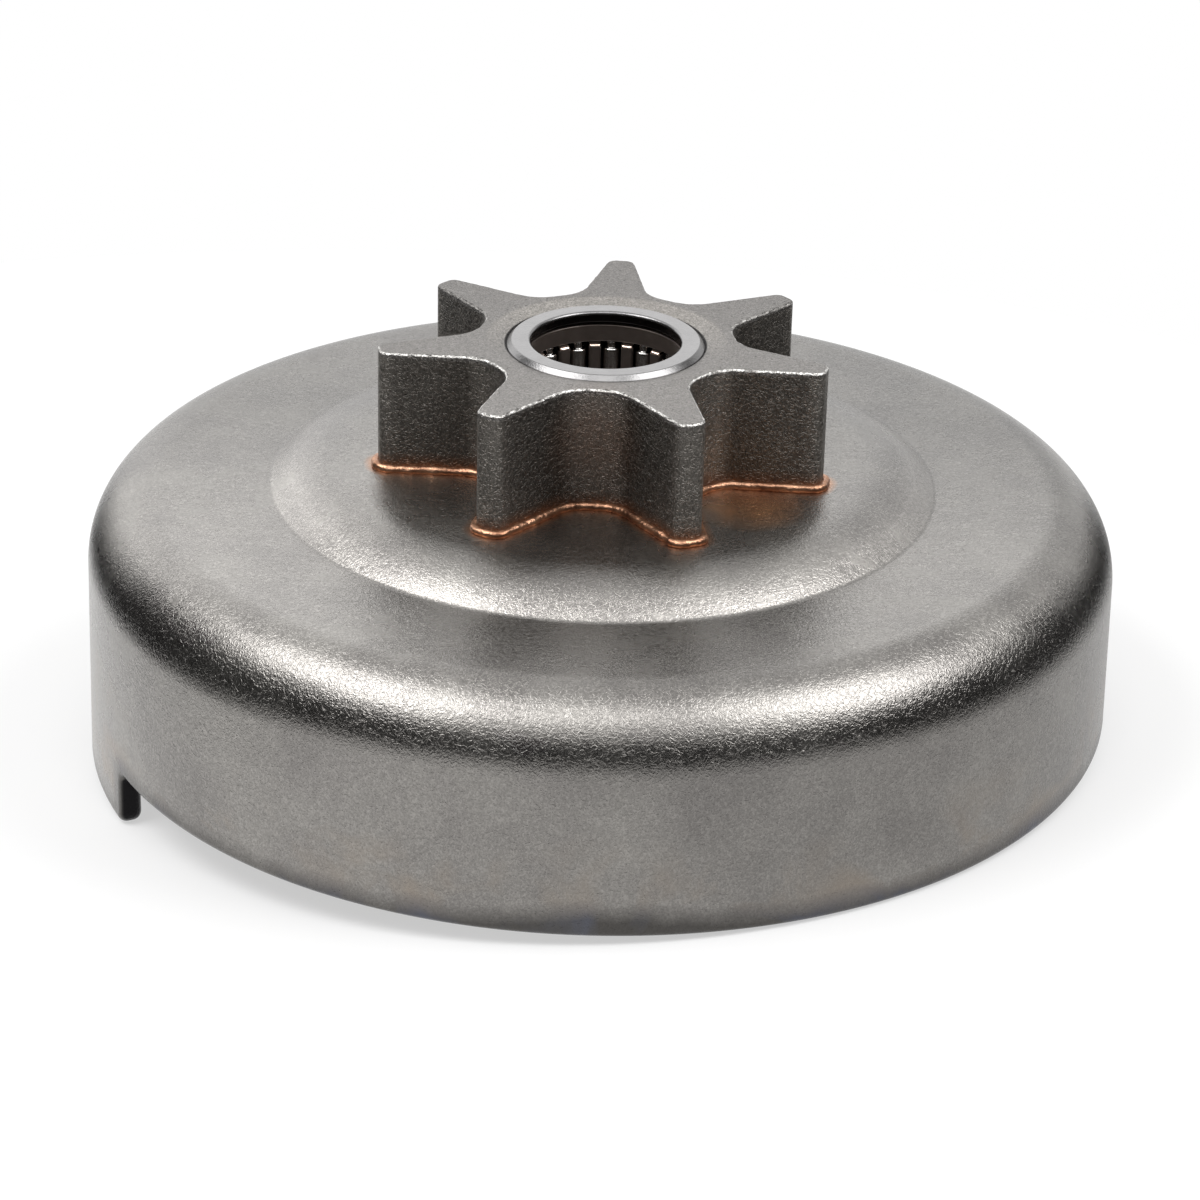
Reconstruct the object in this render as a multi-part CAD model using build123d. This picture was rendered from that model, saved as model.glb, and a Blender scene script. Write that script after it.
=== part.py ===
from build123d import *
import os
from math import cos, hypot, radians, sin, tan

# Clutch drum with a brazed-on spur sprocket and a pressed-in needle bearing.
# Millimetres. The drum's axis is Z, the plane of its open rim is z = 0 and the sprocket points up.

# Pressed cup
rim_radius = 42.0
wall = 1.8
wall_draft = 0.3
web_height = 18.6
shoulder_radius = 6.0
rim_rounding = 0.7

# Raised boss in the middle of the cup
boss_foot_radius = 27.0
boss_height = 2.1
boss_slope = 32.0
boss_rounding = 11.0
foot_rounding = 0.9

# Drive tab that hangs from the rim
tab_angle = 195.6
tab_width = 16.0
tab_drop = 4.4
tab_corner = 1.0
tab_root = 0.5

# Spur sprocket
teeth = 7
tooth_turn = 35.0
tip_radius = 18.3
root_radius = 10.5
tip_half_width = 1.05
flank_slope = 11.9
gullet_rounding = 3.2
tip_rounding = 0.85
tooth_length = 10.05
top_rounding = 0.3
spigot_radius = 9.5
spigot_stand_out = 0.5
bore_chamfer = 0.2
face_dish_radius = 9.7
face_dish_depth = 0.3

# Copper braze in the joint between cup and sprocket
braze_gap = 0.05
bead_width = 0.5
bead_height = 0.5
bead_slope = 40.0
inner_bead = 0.5

# Drawn-cup needle bearing
shaft_radius = 6.0
lip_radius = 6.05
bearing_radius = 8.0
bearing_length = 12.0
bearing_stand_out = 0.05
shell_wall = 0.5
lip_thickness = 0.9
shell_corner = 0.45

# Cage and rollers
roller_count = 15
roller_turn = 14.0
running_clearance = 0.03
pocket_clearance = 0.04
cage_inner_radius = 6.2
cage_bar_set_back = 0.2
cage_raceway_gap = 0.15
cage_end_gap = 0.3
cage_ring = 1.45
roller_rounding = 0.2
nub_radius = 0.42
nub_height = 0.3
nub_rounding = 0.12

# Heights and radii that follow from the sizes above
boss_top = web_height + boss_height
boss_underside = boss_top - wall
web_hole_radius = spigot_radius + braze_gap
seat_height = boss_top + braze_gap
sprocket_top = boss_top + tooth_length
spigot_end = boss_underside - spigot_stand_out
bearing_top = sprocket_top + bearing_stand_out
bearing_bottom = bearing_top - bearing_length
raceway_radius = bearing_radius - shell_wall
roller_radius = (raceway_radius - shaft_radius) / 2 - running_clearance
pitch_radius = (raceway_radius + shaft_radius) / 2
cage_radius = raceway_radius - cage_raceway_gap
cage_length = bearing_length - 2 * (lip_thickness + cage_end_gap)
pocket_length = cage_length - 2 * cage_ring
roller_length = pocket_length - 2 * pocket_clearance
roller_body = roller_length - 2 * nub_height
bearing_middle = (bearing_top + bearing_bottom) / 2


def corner_near(shape, x, y):
    """The corner of a flat shape that lies nearest to a point."""
    return min(shape.vertices(), key=lambda v: hypot(v.X - x, v.Y - y))


def turned(profile):
    """Solid of revolution about Z of a profile drawn as radius and height."""
    return revolve(Plane.XZ * profile, Axis.Z)


def rounded_profile(corners):
    """Closed profile through corners given as radius, height and rounding."""
    profile = make_face(Polyline([(x, y) for x, y, _ in corners], close=True))
    for x, y, rounding in corners:
        if rounding:
            profile = fillet(corner_near(profile, x, y), rounding)
    return profile


def cup_corners(depth, edge_radius):
    """Corners of the cup's skin at a depth under its outside, from the shoulder to the web hole."""
    bend_shift = depth * tan(radians(boss_slope / 2))
    slope_run = boss_height / tan(radians(boss_slope))
    foot = boss_foot_radius - bend_shift
    return [
        (edge_radius, web_height - depth, shoulder_radius - depth),
        (foot, web_height - depth, foot_rounding + depth),
        (foot - slope_run, boss_top - depth, boss_rounding - depth),
        (web_hole_radius, boss_top - depth, 0),
    ]


def tab_punch():
    """Block with the drive tab's outline that reaches out through the wall: rounded ends, flared roots."""
    flare = tab_width / 2 + tab_root
    tongue = Rectangle(tab_width, 2 * tab_drop, align=(Align.CENTER, Align.MIN))
    tongue = Pos(0, -tab_drop) * fillet(tongue.vertices().group_by(Axis.Y)[0], tab_corner)
    neck = Pos(0, -tab_root) * Rectangle(2 * flare, tab_root, align=(Align.CENTER, Align.MIN))
    for side in (-1, 1):
        neck -= Pos(side * flare, -tab_root) * Circle(tab_root)
    facing = Plane(origin=(0, 0, 0), x_dir=(0, 1, 0), z_dir=(1, 0, 0))
    return Rot(0, 0, tab_angle) * extrude(facing * (tongue + neck), amount=2 * rim_radius)


def rim_arrises(cup):
    """The edges on the outside and the inside of the wall that run along the rim and round the tab."""
    middle = rim_radius - wall / 2
    for edge in cup.edges():
        point = edge @ 0.5
        beside_middle = abs(hypot(point.X, point.Y) - middle) > wall / 4
        if edge.bounding_box().max.Z < rim_rounding / 2 and beside_middle:
            yield edge


def drum_cup():
    """Pressed steel cup: rim with drive tab, shoulder, web and a raised boss with the centre hole."""
    tab_flare = wall_draft * tab_drop / web_height
    bottom = [(rim_radius - wall, -tab_drop, 0), (rim_radius + tab_flare, -tab_drop, 0)]
    outside = cup_corners(0, rim_radius - wall_draft)
    inside = cup_corners(wall, rim_radius - wall)
    blank = turned(rounded_profile(bottom + outside + inside[::-1]))
    below_rim = Cylinder(2 * rim_radius, 2 * tab_drop, align=(Align.CENTER, Align.CENTER, Align.MAX))
    cup = blank - (below_rim - tab_punch())
    return fillet(list(rim_arrises(cup)), rim_rounding)


def tooth_outline():
    """Outline of the spur sprocket: straight flanks, rounded gullets and flat, rounded tips."""
    foot_half_width = tip_half_width + (tip_radius - root_radius / 2) * tan(radians(flank_slope))
    tooth = make_face(
        Polyline(
            (root_radius / 2, -foot_half_width),
            (tip_radius, -tip_half_width),
            (tip_radius, tip_half_width),
            (root_radius / 2, foot_half_width),
            close=True,
        )
    )
    outline = Circle(root_radius)
    for i in range(teeth):
        outline += Rot(0, 0, 360 * i / teeth) * tooth
    middle_radius = (root_radius + tip_radius) / 2
    gullets = [v for v in outline.vertices() if hypot(v.X, v.Y) < middle_radius]
    outline = fillet(gullets, gullet_rounding)
    tips = [v for v in outline.vertices() if hypot(v.X, v.Y) > tip_radius]
    outline = fillet(tips, tip_rounding)
    return Rot(0, 0, tooth_turn) * outline


def sprocket_blank():
    """The sprocket without its bore: teeth on the cup's boss and a spigot through the cup's hole."""
    body = extrude(Pos(0, 0, seat_height) * tooth_outline(), amount=sprocket_top - seat_height)
    body = fillet(body.edges().group_by(Axis.Z)[-1], top_rounding)
    spigot = Pos(0, 0, spigot_end) * Cylinder(
        spigot_radius, seat_height - spigot_end, align=(Align.CENTER, Align.CENTER, Align.MIN)
    )
    return body + spigot


def bearing_bore():
    """The bore's tool shape: a plain bore, a small chamfer and a shallow dish in the sprocket's face."""
    mouth = sprocket_top - face_dish_depth
    profile = Polyline(
        (0, spigot_end),
        (bearing_radius, spigot_end),
        (bearing_radius, mouth - bore_chamfer),
        (bearing_radius + bore_chamfer, mouth),
        (face_dish_radius, sprocket_top),
        (0, sprocket_top),
        close=True,
    )
    return turned(make_face(profile))


def sprocket():
    """Sintered steel spur sprocket with the bore that the needle bearing is pressed into."""
    return sprocket_blank() - bearing_bore()


def braze_fillet():
    """Copper that fills the joint, with a bead round the teeth and another round the spigot's end."""
    bead_outline = offset(tooth_outline(), bead_width, kind=Kind.ARC)
    bead = extrude(Pos(0, 0, boss_top) * bead_outline, amount=bead_height, taper=bead_slope)
    joint = Pos(0, 0, boss_underside) * Cylinder(
        web_hole_radius, wall, align=(Align.CENTER, Align.CENTER, Align.MIN)
    )
    ring = Pos(0, 0, boss_underside - inner_bead) * Cone(
        spigot_radius + braze_gap,
        web_hole_radius + inner_bead,
        inner_bead,
        align=(Align.CENTER, Align.CENTER, Align.MIN),
    )
    return bead + joint + ring - sprocket_blank()


def bearing_shell():
    """Drawn outer cup of the needle bearing, with a lip turned in at each end."""
    profile = rounded_profile(
        [
            (lip_radius, bearing_bottom, 0),
            (bearing_radius, bearing_bottom, shell_corner),
            (bearing_radius, bearing_top, shell_corner),
            (lip_radius, bearing_top, 0),
            (lip_radius, bearing_top - lip_thickness, 0),
            (raceway_radius, bearing_top - lip_thickness, 0),
            (raceway_radius, bearing_bottom + lip_thickness, 0),
            (lip_radius, bearing_bottom + lip_thickness, 0),
        ]
    )
    return turned(profile)


def roller_places():
    """Where the rollers stand on the pitch circle."""
    for i in range(roller_count):
        angle = radians(roller_turn + 360 * i / roller_count)
        yield Pos(pitch_radius * cos(angle), pitch_radius * sin(angle), bearing_middle)


def needle_cage():
    """Cage of two end rings and the set-back bars between them, with one pocket for each roller."""
    cage = Cylinder(cage_radius, cage_length) - Cylinder(cage_inner_radius, cage_length)
    cage -= Cylinder(cage_inner_radius + cage_bar_set_back, pocket_length)
    cage = Pos(0, 0, bearing_middle) * cage
    pocket = Cylinder(roller_radius + pocket_clearance, pocket_length)
    for place in roller_places():
        cage -= place * pocket
    return cage


def roller():
    """One needle roller about its own middle: rounded shoulders and a small nub on each end."""
    body_end = roller_body / 2
    nub_end = roller_length / 2
    profile = rounded_profile(
        [
            (0, -nub_end, 0),
            (nub_radius, -nub_end, nub_rounding),
            (nub_radius, -body_end, 0),
            (roller_radius, -body_end, roller_rounding),
            (roller_radius, body_end, roller_rounding),
            (nub_radius, body_end, 0),
            (nub_radius, nub_end, nub_rounding),
            (0, nub_end, 0),
        ]
    )
    return turned(profile)


def main():
    os.makedirs("parts", exist_ok=True)
    nodes = {
        "drum_cup": drum_cup(),
        "sprocket": sprocket(),
        "braze_fillet": braze_fillet(),
        "bearing_shell": bearing_shell(),
        "needle_cage": needle_cage(),
    }
    for number, place in enumerate(roller_places(), start=1):
        nodes[f"roller_{number:02d}"] = place * roller()
    for name, solid in nodes.items():
        export_step(solid, f"parts/{name}.step")


main()
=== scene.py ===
from math import acos, asin, atan2, ceil, cos, degrees, pi, radians, sin, sqrt, tan

import bmesh
import bpy
import numpy as np
from mathutils import Matrix, Vector
from mathutils.geometry import delaunay_2d_cdt


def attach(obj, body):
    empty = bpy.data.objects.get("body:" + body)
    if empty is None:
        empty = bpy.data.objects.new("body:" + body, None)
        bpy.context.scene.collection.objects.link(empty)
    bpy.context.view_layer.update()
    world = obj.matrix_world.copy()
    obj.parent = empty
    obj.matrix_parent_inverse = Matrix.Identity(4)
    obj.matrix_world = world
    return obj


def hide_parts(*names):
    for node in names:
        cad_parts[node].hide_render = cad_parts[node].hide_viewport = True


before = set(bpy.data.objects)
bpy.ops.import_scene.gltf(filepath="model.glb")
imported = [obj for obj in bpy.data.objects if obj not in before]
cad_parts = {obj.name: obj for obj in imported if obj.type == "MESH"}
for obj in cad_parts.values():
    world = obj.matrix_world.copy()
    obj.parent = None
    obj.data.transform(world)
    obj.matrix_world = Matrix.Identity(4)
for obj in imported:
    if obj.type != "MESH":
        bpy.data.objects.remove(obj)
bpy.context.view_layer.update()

# Clutch drum: a blasted pressed-steel cup, a sintered seven-tooth sprocket brazed on with
# copper, and a drawn-cup needle bearing. All sizes are the model's own, in millimetres.
MM = 0.001

# Pressed cup
RIM_RADIUS = 42.0
WALL = 1.8
INSIDE_RADIUS = RIM_RADIUS - WALL
WALL_DRAFT = 0.3
WEB_HEIGHT = 18.6
SHOULDER_RADIUS = 6.0
RIM_ROUNDING = 0.7
BOSS_FOOT_RADIUS = 27.0
BOSS_HEIGHT = 2.1
BOSS_SLOPE = 32.0
BOSS_ROUNDING = 11.0
FOOT_ROUNDING = 0.9
BOSS_TOP = WEB_HEIGHT + BOSS_HEIGHT
BOSS_UNDERSIDE = BOSS_TOP - WALL
TAB_ANGLE = 195.6
TAB_WIDTH = 16.0
TAB_DROP = 4.4
TAB_CORNER = 1.0
TAB_ROOT = 0.5
WEB_HOLE_RADIUS = 9.55
BOSS_FLAT_RADIUS = 19.4
ROUND_STEPS = 360
BAND_TOP = 6.0
BAND_ROWS = (1.8, 2.9, 4.2)
GUARD = 0.12
PACE = 2 * pi * RIM_RADIUS / ROUND_STEPS
TAB_HALF = RIM_RADIUS * asin(TAB_WIDTH / 2 / RIM_RADIUS)

# Limits of the distances that the cup's vertices carry for its finish
EDGE_REACH = 8.0
JOINT_REACH = 9.0
BOSS_REACH = 22.0

# Near-black strip on the drive tab's cut end, a little inside its outline
CUT_INSET = 0.95
CUT_TOP = -0.7
CUT_HALF_WIDTH = 0.88
CUT_FADE = 0.12
CUT_REACH = 0.65

# Middles of the copper pool, the front of the lower edge where heat tint and painted shade
# darken it most, and the rusty gullet
POOL_PLACE = (11.6, -9.9, BOSS_TOP)
SCORCH_AND_SHADE_PLACE = (2.0, -42.0, 0.0)
RUSTY_PLACE = (-0.6, -10.4, 26.5)

# Sprocket
TEETH = 7
TOOTH_TURN = 35.0
TIP_RADIUS = 18.3
ROOT_RADIUS = 10.5
TIP_HALF_WIDTH = 1.05
FLANK_SLOPE = 11.9
GULLET_ROUNDING = 3.2
TIP_ROUNDING = 0.85
TOP_ROUNDING = 0.18
SEAT_HEIGHT = 20.75
SPROCKET_TOP = 30.75
DISH_RADIUS = 9.7
DISH_DEPTH = 0.3
SPIGOT_RADIUS = 9.5
SPIGOT_END = 18.4
BORE_RADIUS = 8.0
BORE_CHAMFER = 0.08
OUTLINE_STEP = 0.16
FLANK_ROWS = (SEAT_HEIGHT, 22.0, 24.0, 26.0, 28.0, 29.7, 30.2, 30.42)
WEAR_DEPTH = 0.13
WEAR_SIZE = 0.55

# Copper beads
FLATNESS = 0.78
LEAN = radians(-45)
BEAD_SINK = 0.02
BEAD_RADIUS = 0.57
BEAD_OUTSET = 0.05
UNDER_BEAD_RADIUS = 0.34
UNDER_BEAD_PATH = 9.72
UNDER_BEAD_STEPS = 120

# Needle bearing
LIP_RADIUS = 6.05
LIP_THICKNESS = 0.9
BEARING_TOP = 30.8
BEARING_BOTTOM = 18.8
RACEWAY_RADIUS = 7.5
CAGE_RADIUS = 7.35
CAGE_INNER_RADIUS = 6.2
BAR_PROUD = 0.1
BAR_DROP = 0.22
CAGE_TOP = 29.6
CAGE_BOTTOM = 20.0
CAGE_RING = 1.45
ROLLERS = 15
ROLLER_TURN = 14.0
ROLLER_RADIUS = 0.72
PITCH_RADIUS = 6.75
ROLLER_LENGTH = 6.62
ROLLER_MIDDLE = 24.8
NUB_RADIUS = 0.42
NUB_HEIGHT = 0.55
BAR_WIDTH = 0.98
BAR_BEND = 0.3

# Table, camera and its aim
TABLE_SHINE = 0.52
TABLE_RADIUS = 150.0
TABLE_TOUCH = 302.0
TABLE_SHIFT = -45.0
CAMERA_AIM = (0.035, 0, 7.625)
CAMERA_DISTANCE = 316.7
CAMERA_DOWN = radians(25.597)
CAMERA_ROLL = radians(1.378)
CAMERA_LENS = 114.8


def plug(tree, node, inputs):
    """Fills a node's live inputs, given by name or as a list in the node's own order. Each one is a
    value, a socket or another node, which stands for its first live output."""
    places = [i for i, socket in enumerate(node.inputs) if socket.enabled]
    if isinstance(inputs, dict):
        names = [node.inputs[i].name for i in places]
        filled = {places[names.index(name)]: value for name, value in inputs.items()}
    else:
        filled = dict(zip(places, inputs))
    for place, value in filled.items():
        if isinstance(value, bpy.types.Node):
            value = next(socket for socket in value.outputs if socket.enabled)
        if isinstance(value, bpy.types.NodeSocket):
            tree.links.new(value, node.inputs[place])
        else:
            node.inputs[place].default_value = value


def add(tree, kind, inputs=(), **settings):
    """Adds a node with its settings and fills its inputs. Shader kinds are named without their prefix."""
    made = tree.nodes.new(kind if "Node" in kind else "ShaderNode" + kind)
    for name, value in settings.items():
        setattr(made, name, value)
    plug(tree, made, inputs)
    return made


def shaping_tree(name, **inputs):
    """Empty geometry tree with named inputs; returns the tree, what it is given and its output node."""
    tree = bpy.data.node_groups.new(name, "GeometryNodeTree")
    tree.interface.new_socket("Geometry", in_out="INPUT", socket_type="NodeSocketGeometry")
    tree.interface.new_socket("Geometry", in_out="OUTPUT", socket_type="NodeSocketGeometry")
    tree.interface.new_socket("Finish", in_out="INPUT", socket_type="NodeSocketMaterial")
    for label, value in inputs.items():
        kind = "NodeSocketInt" if isinstance(value, int) else "NodeSocketFloat"
        socket = tree.interface.new_socket(label.replace("_", " "), in_out="INPUT", socket_type=kind)
        socket.default_value = value
    return tree, tree.nodes.new("NodeGroupInput").outputs, tree.nodes.new("NodeGroupOutput")


def pushed(tree, geometry, amount):
    """Moves a surface along its own normals, outwards where the amount is above 0."""
    push = add(tree, "VectorMath", [add(tree, "GeometryNodeInputNormal"), amount], operation="SCALE")
    return add(tree, "GeometryNodeSetPosition", {"Geometry": geometry, "Offset": push})


def ended(tree, given, end, geometry):
    """Ends a geometry tree: instances become real geometry, which is given its finish."""
    real = add(tree, "GeometryNodeRealizeInstances", {"Geometry": geometry})
    done = add(tree, "GeometryNodeSetMaterial", {"Geometry": real, "Material": given["Finish"]})
    plug(tree, end, [done])
    return tree


def placed(name, data):
    """A new object in the scene."""
    made = bpy.data.objects.new(name, data)
    bpy.context.scene.collection.objects.link(made)
    return made


def shaped(name, base, tree, finish, **values):
    """Runs a geometry tree on a base mesh and returns the result as a plain mesh."""
    carrier = placed(name, base)
    grow = carrier.modifiers.new("shape", "NODES")
    grow.node_group = tree
    values = {label.replace("_", " "): value for label, value in values.items()}
    values["Finish"] = finish
    for item in tree.interface.items_tree:
        if item.in_out == "INPUT" and item.name in values:
            grow[item.identifier] = values[item.name]
    bpy.context.view_layer.update()
    result = bpy.data.meshes.new_from_object(carrier.evaluated_get(bpy.context.evaluated_depsgraph_get()))
    carrier.modifiers.remove(grow)
    bpy.data.objects.remove(carrier)
    return result


def turning_tree():
    """Turns a profile, drawn as radius in x and height in z, once round the Z axis."""
    tree, given, end = shaping_tree("turned_profile", Segments=96, Start_angle=0.0, Closed=1)
    line = add(tree, "GeometryNodeMeshToCurve", {"Mesh": given["Geometry"]})
    size = add(tree, "GeometryNodeAttributeDomainSize", {"Geometry": line}, component="CURVE")
    points = size.outputs["Point Count"]
    spans = add(tree, "Math", [points, given["Closed"]], operation="ADD")
    rows = add(tree, "Math", [given["Segments"], 1.0], operation="ADD")
    square = {"Size X": 1.0, "Size Y": 1.0, "Vertices X": rows, "Vertices Y": spans}
    grid = add(tree, "GeometryNodeMeshGrid", square)
    gaps = add(tree, "Math", [spans, 1.0], operation="SUBTRACT")
    x_grid, y_grid, _ = add(tree, "SeparateXYZ", [add(tree, "GeometryNodeInputPosition")]).outputs
    share = add(tree, "Math", [y_grid, 0.5], operation="ADD")
    along = add(tree, "Math", [share, gaps], operation="MULTIPLY")
    whole = add(tree, "Math", [along], operation="ROUND")
    index = add(tree, "Math", [whole, points], operation="MODULO")
    sampled = {"Geometry": line, "Value": add(tree, "GeometryNodeInputPosition"), "Index": index}
    corner = add(tree, "GeometryNodeSampleIndex", sampled, data_type="FLOAT_VECTOR", domain="POINT")
    radius, _, height = add(tree, "SeparateXYZ", [corner]).outputs
    turn = add(tree, "Math", [x_grid, 0.5], operation="ADD")
    angle = add(tree, "Math", [turn, 2 * pi, given["Start angle"]], operation="MULTIPLY_ADD")
    x_share = add(tree, "Math", [angle], operation="COSINE")
    y_share = add(tree, "Math", [angle], operation="SINE")
    x = add(tree, "Math", [x_share, radius], operation="MULTIPLY")
    y = add(tree, "Math", [y_share, radius], operation="MULTIPLY")
    point = add(tree, "CombineXYZ", [x, y, height])
    moved = add(tree, "GeometryNodeSetPosition", {"Geometry": grid, "Position": point})
    closed = add(tree, "GeometryNodeMergeByDistance", {"Geometry": moved, "Distance": 1e-6})
    return ended(tree, given, end, closed)


def repeating_tree():
    """Repeats one sector round the Z axis, joins the sectors and nibbles worn arrises irregularly."""
    tree, given, end = shaping_tree(
        "repeated_round", Count=7, First_angle=0.0, Wear_depth=0.0, Wear_size=0.0004, Seed=3.0
    )
    spots = add(tree, "GeometryNodeMeshLine", {"Count": given["Count"], "Offset": (0, 0, 0)})
    number = add(tree, "GeometryNodeInputIndex")
    share = add(tree, "Math", [number, given["Count"]], operation="DIVIDE")
    angle = add(tree, "Math", [share, 2 * pi, given["First angle"]], operation="MULTIPLY_ADD")
    turn = add(tree, "CombineXYZ", {"Z": angle})
    sectors = {"Points": spots, "Instance": given["Geometry"], "Rotation": turn}
    copies = add(tree, "GeometryNodeInstanceOnPoints", sectors)
    real = add(tree, "GeometryNodeRealizeInstances", {"Geometry": copies})
    joined = add(tree, "GeometryNodeMergeByDistance", {"Geometry": real, "Distance": 2e-6})
    scale = add(tree, "Math", [1.0, given["Wear size"]], operation="DIVIDE")
    place = add(tree, "GeometryNodeInputPosition")
    pattern = {"Vector": place, "W": given["Seed"], "Scale": scale, "Detail": 2.0}
    nibble = add(tree, "TexNoise", pattern, noise_dimensions="4D")
    deep = add(tree, "MapRange", [nibble, 0.4, 0.7, 0.0, -1.0])
    worn = add(tree, "GeometryNodeInputNamedAttribute", {"Name": "arris"}, data_type="FLOAT")
    amount = add(tree, "Math", [deep, worn], operation="MULTIPLY")
    depth = add(tree, "Math", [amount, given["Wear depth"]], operation="MULTIPLY")
    return ended(tree, given, end, pushed(tree, joined, depth))


def bead_tree():
    """Lays a lumpy bead of metal along a closed path."""
    tree, given, end = shaping_tree(
        "braze_bead",
        Bead_radius=0.0003,
        Lean=0.785,
        Step=0.00012,
        Lump_size=0.001,
        Lump_height=0.0001,
        Seed=5.0,
    )
    line = add(tree, "GeometryNodeMeshToCurve", {"Mesh": given["Geometry"]})
    upright = add(tree, "GeometryNodeSetCurveNormal", {"Curve": line}, mode="Z_UP")
    steps = {"Curve": upright, "Length": given["Step"]}
    even = add(tree, "GeometryNodeResampleCurve", steps, mode="LENGTH")
    circle = {"Resolution": 18, "Radius": given["Bead radius"]}
    ring = add(tree, "GeometryNodeCurvePrimitiveCircle", circle)
    flat = add(tree, "GeometryNodeTransform", {"Geometry": ring, "Scale": (1.0, FLATNESS, 1.0)})
    lean = add(tree, "CombineXYZ", {"Z": given["Lean"]})
    leaning = add(tree, "GeometryNodeTransform", {"Geometry": flat, "Rotation": lean})
    rope = add(tree, "GeometryNodeCurveToMesh", {"Curve": even, "Profile Curve": leaning})
    scale = add(tree, "Math", [1.0, given["Lump size"]], operation="DIVIDE")
    place = add(tree, "GeometryNodeInputPosition")
    pattern = {"Vector": place, "W": given["Seed"], "Scale": scale, "Detail": 2.5, "Roughness": 0.6}
    lump = add(tree, "TexNoise", pattern, noise_dimensions="4D")
    centred = add(tree, "Math", [lump, 0.5], operation="SUBTRACT")
    height = add(tree, "Math", [centred, given["Lump height"]], operation="MULTIPLY")
    return ended(tree, given, end, pushed(tree, rope, height))


def path_mesh(points, closed=False):
    """Polyline mesh through points given in millimetres."""
    count = len(points)
    edges = [(i, (i + 1) % count) for i in range(count if closed else count - 1)]
    mesh = bpy.data.meshes.new("path")
    mesh.from_pydata([tuple(c * MM for c in point) for point in points], edges, [])
    return mesh


def rounded_path(corners, closed=False, step=3.0, guard=GUARD):
    """Points through corners given as x, y and rounding: fine arcs, each with a guard point on the
    straight run before and after it so that the flats shade flat."""
    path = []
    count = len(corners)
    for i, (x, y, rounding) in enumerate(corners):
        here = np.array((x, y), float)
        at_end = not closed and i in (0, count - 1)
        if at_end or not rounding:
            path.append(here)
            continue
        before = np.array(corners[i - 1][:2], float) - here
        after = np.array(corners[(i + 1) % count][:2], float) - here
        before /= np.linalg.norm(before)
        after /= np.linalg.norm(after)
        half = acos(float(before @ after)) / 2
        middle = before + after
        centre = here + middle / np.linalg.norm(middle) * rounding / sin(half)
        first = here + before * rounding / tan(half)
        last = here + after * rounding / tan(half)
        start = atan2(*(first - centre)[::-1])
        sweep = (atan2(*(last - centre)[::-1]) - start + pi) % (2 * pi) - pi
        steps = max(3, ceil(abs(degrees(sweep)) / step))
        path.append(first + before * min(guard, rounding))
        for k in range(steps + 1):
            a = start + sweep * k / steps
            path.append(centre + rounding * np.array((cos(a), sin(a))))
        path.append(last + after * min(guard, rounding))
    return np.array(path)


def lathed(name, corners, finish, segments=96, closed=True, step=3.0, guard=GUARD, start_angle=0.0):
    """Mesh turned from a rounded profile of (radius, height, rounding) corners."""
    profile = rounded_path(corners, closed, step, guard)
    line = path_mesh([(r, 0.0, z) for r, z in profile], closed)
    return shaped(
        name, line, turned, finish, Segments=segments, Closed=int(closed), Start_angle=start_angle
    )


def piece(name, meshes, finish, shift=(0, 0, 0), sharp=35.0, weld=2e-6):
    """One finished object of one or more meshes: welded, facing outwards, smooth up to an angle."""
    bm = bmesh.new()
    for mesh in meshes:
        bm.from_mesh(mesh)
    bmesh.ops.remove_doubles(bm, verts=bm.verts, dist=weld)
    bmesh.ops.recalc_face_normals(bm, faces=bm.faces)
    bmesh.ops.translate(bm, verts=bm.verts, vec=Vector(shift) * MM)
    for face in bm.faces:
        face.smooth = True
        face.material_index = 0
    mesh = bpy.data.meshes.new(name)
    bm.to_mesh(mesh)
    bm.free()
    mesh.materials.clear()
    mesh.materials.append(finish)
    mesh.set_sharp_from_angle(angle=radians(sharp))
    return placed(name, mesh)


def vertex_places(mesh):
    """All vertices of a mesh as an array, in millimetres."""
    flat = np.empty(len(mesh.vertices) * 3)
    mesh.vertices.foreach_get("co", flat)
    return flat.reshape(-1, 3) / MM


def level(flat, height):
    """Flat places lifted to one height."""
    return np.column_stack([flat, np.full(len(flat), height)])


def distances(places, line, parts):
    """Distance from each place to the nearest point of a line, worked out in parts to save memory."""
    shares = np.array_split(places, parts)
    return np.concatenate([np.linalg.norm(some[:, None] - line, axis=2).min(1) for some in shares])


def give_values(mesh, label, values):
    """Stores one number for each vertex, for a material to read."""
    mesh.attributes.new(label, "FLOAT", "POINT").data.foreach_set("value", np.asarray(values, float))


def grid_mesh(rows, closed=False):
    """Mesh of quads between rows that have the same number of points."""
    count = len(rows[0])
    spans = len(rows) if closed else len(rows) - 1
    faces = []
    for j in range(spans):
        low = j * count
        high = (j + 1) % len(rows) * count
        faces += [(low + i, low + i + 1, high + i + 1, high + i) for i in range(count - 1)]
    mesh = bpy.data.meshes.new("grid")
    mesh.from_pydata([tuple(point * MM) for row in rows for point in row], [], faces)
    return mesh


def cup_corners(depth, edge_radius):
    """Corners of the cup's skin at a depth under its outside, from the shoulder to the web hole."""
    bend_shift = depth * tan(radians(BOSS_SLOPE / 2))
    slope_run = BOSS_HEIGHT / tan(radians(BOSS_SLOPE))
    foot = BOSS_FOOT_RADIUS - bend_shift
    return [
        (edge_radius, WEB_HEIGHT - depth, SHOULDER_RADIUS - depth),
        (foot, WEB_HEIGHT - depth, FOOT_ROUNDING + depth),
        (foot - slope_run, BOSS_TOP - depth, BOSS_ROUNDING - depth),
    ]


def outer_radius(height):
    """Outside radius of the drawn wall, which narrows a little towards the web."""
    return RIM_RADIUS - WALL_DRAFT * height / WEB_HEIGHT


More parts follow.
